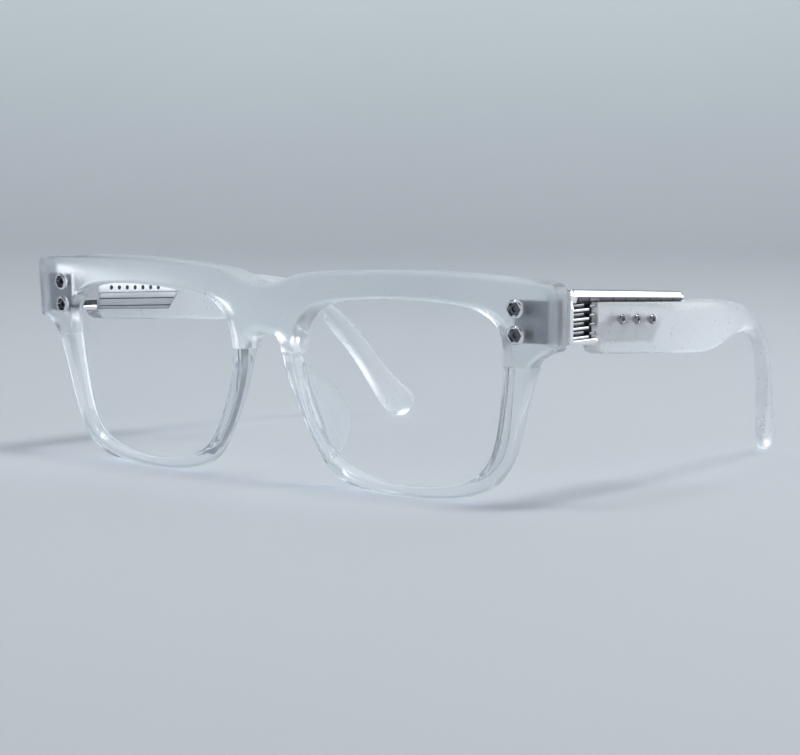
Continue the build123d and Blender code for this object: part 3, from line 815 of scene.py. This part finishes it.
WY0, WZ0, WZ1 = 11.1, 34.75, 42.25
bar_parts = [
    Part([(FY + 0.02, bar_top(FY)), (54.7, bar_top(54.7))], 0.3, 0.3, 0, 0.7),
    Part([(54.7, bar_top(54.7)), (55.7, 42.12), (56.2, 41.2), (55.8, 40.5), (54.9, bar_low(54.9) + 0.02)], 0.9, 0.9, 0, 0.25),
    Part([(54.9, bar_low(54.9) + 0.02), (20.5, bar_low(20.5) + 0.02)], 0.15, 0.15, 0, 0.7),
    Part([(20.5, bar_low(20.5) + 0.02), (20.5, WZ1 + 0.001)], 0.02, 0.02, 0, 0.7),
    Part([(20.5, WZ1 + 0.001), (WY0 + 0.8, WZ1)], 0.15, 0.15, 0, 0.7),
    Part([(WY0 + 0.8, WZ1), (WY0 + 0.23, WZ1 - 0.23), (WY0, WZ1 - 0.8)], 0.15, 0.15, 0, 0.2),
    Part([(WY0, WZ1 - 0.8), (WY0, WZ0)], 0.15, 0.15, 0, 0.7),
    Part([(WY0, WZ0), (20.5, WZ0)], 0.15, 0.15, 0, 0.7),
    Part([(20.5, WZ0), (20.5, 33.42)], 0.15, 0.15, 0, 0.5),
    Part([(20.5, 33.42), (FY + 0.02, 33.8)], 0.2, 0.2, 0, 0.7),
    Part([(FY + 0.02, 33.8), (FY + 0.02, bar_top(FY))], 0.15, 0.15, 0, 0.7),
]
crease = np.array([(y, ridge(y)) for y in np.arange(11.6, 54.6, 0.8)])
bar = slab("left_metal_frame", bar_parts, lambda y, z: x_out(y) - TEMPLE_T + 0 * z, bar_face, at_temple, grid=1.0, creases=[crease])
# painted shade and painted reflection on the bar, chosen facet by facet
for f in bar.data.polygons:
    y, z = f.center.y / MM - YS, f.center.z / MM
    outer_side = f.center.x / MM > x_out(y) - 1.0
    # top-facing facets darker: painted dark reflection
    if f.normal.z > 0.6 and z > 41.5:
        f.material_index = 1
    # outer lower facet darker, near-black along its bottom edge: painted reflection and painted shade
    elif outer_side and y > 12.4 and bar_low(y) - 0.3 < z < ridge(y) - 0.02:
        f.material_index = 1 if z > bar_low(y) + 0.5 else 3
    # inner walls of the window near-black: painted shade
    elif not outer_side and (abs(f.normal.y) > 0.5 or abs(f.normal.z) > 0.5) and 10.6 < y < 20.6 and 34.2 < z < 42.4:
        f.material_index = 3
bar_r = mirrored(bar, "right_metal_frame")
dress(bar, POLISHED, "left_temple", "polished_metal", "left_temple_bar")
dress(bar_r, POLISHED, "right_temple", "polished_metal", "right_temple_bar")
for o in (bar, bar_r):
    o.data.materials.append(PAINTED_SHADE_METAL)
    o.data.materials.append(PAINTED_RECESS_SHADE_METAL)
    o.data.materials.append(PAINTED_DEEP_SHADE)


# rib insert: back plate, long fins, thin strips between them, and rear teeth; the back plate and the strips carry
# painted shade
def rounded_box(bm, y0, y1, z0, z1, xa, xb, bevel):
    corners = []
    for y in (y0, y1):
        for z in (z0, z1):
            for x in (xa, xb):
                corners.append(bm.verts.new(at_temple(y, z, float(x_out(y)) + x)))
    idx = [(0, 1, 3, 2), (4, 6, 7, 5), (0, 4, 5, 1), (2, 3, 7, 6), (0, 2, 6, 4), (1, 5, 7, 3)]
    faces = [bm.faces.new([corners[i] for i in f]) for f in idx]
    edges = list({e for f in faces for e in f.edges})
    if bevel:
        bmesh.ops.bevel(bm, geom=edges, offset=bevel * MM, segments=3, profile=0.5, affect="EDGES", clamp_overlap=True)


bm = bmesh.new()
rounded_box(bm, WY0 + 0.01, 20.49, WZ0 + 0.01, WZ1 - 0.01, -TEMPLE_T, -1.5, 0.05)
# back plate near-black: painted shade behind the fins
for f in bm.faces:
    f.material_index = 1
fin_z = [40.75 - FIN_PITCH * k for k in range(4)]
for z in fin_z:
    rounded_box(bm, WY0 + 0.02, 17.3, z - 0.27, z + 0.27, -1.7, -0.12, 0.09)
for z in fin_z:
    before = set(bm.faces)
    rounded_box(bm, WY0 + 0.02, 16.2, z + FIN_PITCH / 2 - 0.27, z + FIN_PITCH / 2 + 0.27, -1.7, -0.7, 0.08)
    rounded_box(bm, 18.0, 20.49, z + FIN_PITCH / 2 - 0.67, z + FIN_PITCH / 2 - 0.03, -1.7, -0.35, 0.14)
    # strips and teeth in the darker metal copy: painted shade between the fins
    for f in bm.faces:
        if f not in before:
            f.material_index = 2
bmesh.ops.recalc_face_normals(bm, faces=bm.faces)
ribs = finish_mesh("left_rib_comb", bm, sharp=38)
ribs_r = mirrored(ribs, "right_rib_comb")
dress(ribs, POLISHED, "left_temple", "polished_metal", "left_rib_insert")
dress(ribs_r, POLISHED, "right_temple", "polished_metal", "right_rib_insert")
for o in (ribs, ribs_r):
    o.data.materials.append(PAINTED_DEEP_SHADE)
    o.data.materials.append(PAINTED_SHADE_METAL)

# domed rivets with a lobed recess; the heads take the darker metal copy and the recess painted near-black shade
bm = bmesh.new()
profile = [(0.0, -0.30), (0.34, -0.30), (0.40, -0.27), (0.44, 0.0), (0.50, 0.22), (0.62, 0.36), (0.78, 0.38), (0.92, 0.30),
           (1.03, 0.14), (1.08, -0.05), (1.08, -0.55), (0.70, -0.58), (0.70, -2.6), (0.0, -2.6)]
for y, z in ((30.2, 38.0), (36.3, 37.6), (42.4, 37.2)):
    xo = float(x_out(y))
    rings = []
    n = 48
    for r, h in profile:
        ring = []
        if r < 1e-6:
            ring = [bm.verts.new(at_temple(y, z, xo + h))]
        else:
            for k in range(n):
                a = 2 * math.pi * k / n
                rr = r * (1 + 0.10 * math.cos(6 * a)) if r < 0.55 else r
                ring.append(bm.verts.new(at_temple(y + rr * math.cos(a), z + rr * math.sin(a), xo + h)))
        rings.append(ring)
    for step, (a, b) in enumerate(zip(rings[:-1], rings[1:])):
        for k in range(n):
            j = (k + 1) % n
            if len(a) == 1:
                f = bm.faces.new((a[0], b[k], b[j]))
            elif len(b) == 1:
                f = bm.faces.new((a[k], b[0], a[j]))
            else:
                f = bm.faces.new((a[k], b[k], b[j], a[j]))
            # recess and underside near-black: painted shade
            f.material_index = 1 if step < 3 or step > 9 else 0
bmesh.ops.recalc_face_normals(bm, faces=bm.faces)
rivets = finish_mesh("left_rivet_heads", bm, sharp=50)
rivets_r = mirrored(rivets, "right_rivet_heads")
dress(rivets, PAINTED_SHADE_METAL, "left_temple", "polished_metal", "left_temple_rivets")
dress(rivets_r, PAINTED_SHADE_METAL, "right_temple", "polished_metal", "right_temple_rivets")
rivets.data.materials.append(PAINTED_DEEP_SHADE)
rivets_r.data.materials.append(PAINTED_DEEP_SHADE)

# carried-over metal nodes
for side in ("left", "right"):
    # front screws in the near-black metal: painted recess shade
    for node, mat in (("front_screws", PAINTED_RECESS_SHADE_METAL), ("front_bezels", POLISHED), ("front_hinge_leaf", BRUSHED),
                      ("hinge_screw", POLISHED), ("temple_hinge_leaf", BRUSHED)):
        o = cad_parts[side + "_" + node]
        for s in o.material_slots:
            s.material = mat
        if not o.material_slots:
            o.data.materials.append(mat)

# ---- stage, light, camera ---------------------------------------------------
# paper tones: the wall far brighter than the floor, painted light that evens out the backdrop's lighting
FLOOR_TONE, WALL_TONE_PAINTED_LIGHT = (0.470, 0.492, 0.526), (0.815, 0.89, 0.90)
KEY_W, PANEL_W, WALL_W = 4.3, 0.95, 14.5
bm = bmesh.new()
prof = [(-1.6, 0.0), (0.9, 0.0)] + [(0.9 + 0.5 * math.sin(a), 0.5 - 0.5 * math.cos(a)) for a in np.linspace(0.1, math.pi / 2, 14)] + [(1.4, 2.2)]
az = math.radians(37.646)
fwd = Vector((-math.sin(az), math.cos(az), 0))
side_v = Vector((math.cos(az), math.sin(az), 0))
rows = []
for u, z in prof:
    rows.append([bm.verts.new(fwd * u + side_v * w + Vector((0, 0, z - 0.00002))) for w in (-2.4, 2.4)])
for a, b in zip(rows[:-1], rows[1:]):
    bm.faces.new((a[0], a[1], b[1], b[0]))
bmesh.ops.recalc_face_normals(bm, faces=bm.faces)
sweep = finish_mesh("studio_sweep", bm, sharp=0)
n = Nodes("studio_paper_painted_light")
p = n.new("ShaderNodeBsdfPrincipled")
sep = n.new("ShaderNodeSeparateXYZ")
n.link(n.coord.outputs["Object"], sep.inputs["Vector"])
# floor tone turns into the brighter wall tone by height: painted light
height = n.ramp(sep.outputs["Z"], 0.0, 0.33, 0.0, 1.0)
v = n.noise(3.4, 3.0, 0.5)
tone = n.colour(height, 0.0, 1.0, FLOOR_TONE, WALL_TONE_PAINTED_LIGHT)
mix = n.new("ShaderNodeMix", data_type="RGBA", blend_type="MULTIPLY")
mix.inputs["Factor"].default_value = 1.0
n.link(tone, mix.inputs["A"])
n.link(n.colour(v, 0.3, 0.7, (0.965, 0.97, 0.97), (1.0, 1.0, 1.0)), mix.inputs["B"])
n.link(mix.outputs["Result"], p.inputs["Base Color"])
fine = n.noise(700.0, 3.0, 0.6)
n.link(n.ramp(fine, 0.2, 0.8, 0.6, 0.75), p.inputs["Roughness"])
p.inputs["Specular IOR Level"].default_value = 0.15
n.link(p.outputs["BSDF"], n.out.inputs["Surface"])
sweep.data.materials.append(n.m)

world = bpy.data.worlds.new("studio")
scene.world = world
world.use_nodes = True
wt = world.node_tree
wt.nodes.clear()
wo = wt.nodes.new("ShaderNodeOutputWorld")
bg = wt.nodes.new("ShaderNodeBackground")
tc = wt.nodes.new("ShaderNodeTexCoord")
sep = wt.nodes.new("ShaderNodeSeparateXYZ")
ramp = wt.nodes.new("ShaderNodeValToRGB")
wt.links.new(tc.outputs["Generated"], sep.inputs["Vector"])
wt.links.new(sep.outputs["Z"], ramp.inputs["Fac"])
e = ramp.color_ramp.elements
e[0].position, e[0].color = 0.0, (0.52, 0.57, 0.62, 1)
e[1].position, e[1].color = 1.0, (0.55, 0.58, 0.61, 1)
for pos, col in ((0.42, (0.50, 0.55, 0.60, 1)), (0.56, (0.13, 0.14, 0.155, 1)), (0.80, (0.13, 0.14, 0.155, 1)), (0.90, (0.55, 0.58, 0.61, 1))):
    k = ramp.color_ramp.elements.new(pos)
    k.color = col
wt.links.new(ramp.outputs["Color"], bg.inputs["Color"])
bg.inputs["Strength"].default_value = 1.0
wt.links.new(bg.outputs["Background"], wo.inputs["Surface"])


def area(name, loc, target, size, size_y, energy, color=(1, 1, 1)):
    l = bpy.data.lights.new(name, "AREA")
    l.shape = "RECTANGLE"
    l.size, l.size_y, l.energy, l.color = size, size_y, energy, color
    o = bpy.data.objects.new(name, l)
    o.location = loc
    o.rotation_euler = (Vector(target) - Vector(loc)).to_track_quat("-Z", "Y").to_euler()
    scene.collection.objects.link(o)
    return o


area("top_softbox", (0.30, 0.05, 0.95), (0, 0, 0), 0.26, 0.26, KEY_W)
area("right_window", (0.44, 0.58, 0.19), (0, 0, 0.06), 0.46, 0.36, PANEL_W)
area("wall_wash", fwd * -0.15 + Vector((0, 0, 1.75)), fwd * 1.35 + Vector((0, 0, 0.25)), 1.4, 0.4, WALL_W)

C = Vector((350.827, -405.727 + YS, 78.847)) * MM
azr, el, roll = math.radians(37.646), math.radians(5.913), math.radians(0.292)
back = Vector((math.sin(azr) * math.cos(el), -math.cos(azr) * math.cos(el), math.sin(el)))
right = Vector((math.cos(azr), math.sin(azr), 0))
up = back.cross(right).normalized()
r2 = right * math.cos(roll) + up * math.sin(roll)
u2 = up * math.cos(roll) - right * math.sin(roll)
cam = bpy.data.cameras.new("photo_view")
cam.sensor_width = 36.0
cam.lens = 2483.66 * 36.0 / 800.0
cam.clip_start, cam.clip_end = 0.01, 20
co = bpy.data.objects.new("photo_view", cam)
co.matrix_world = Matrix((( r2.x, u2.x, back.x, C.x), (r2.y, u2.y, back.y, C.y), (r2.z, u2.z, back.z, C.z), (0, 0, 0, 1)))
scene.collection.objects.link(co)
scene.camera = co
scene.view_settings.view_transform = "Standard"
scene.view_settings.look = "None"

bpy.context.view_layer.update()
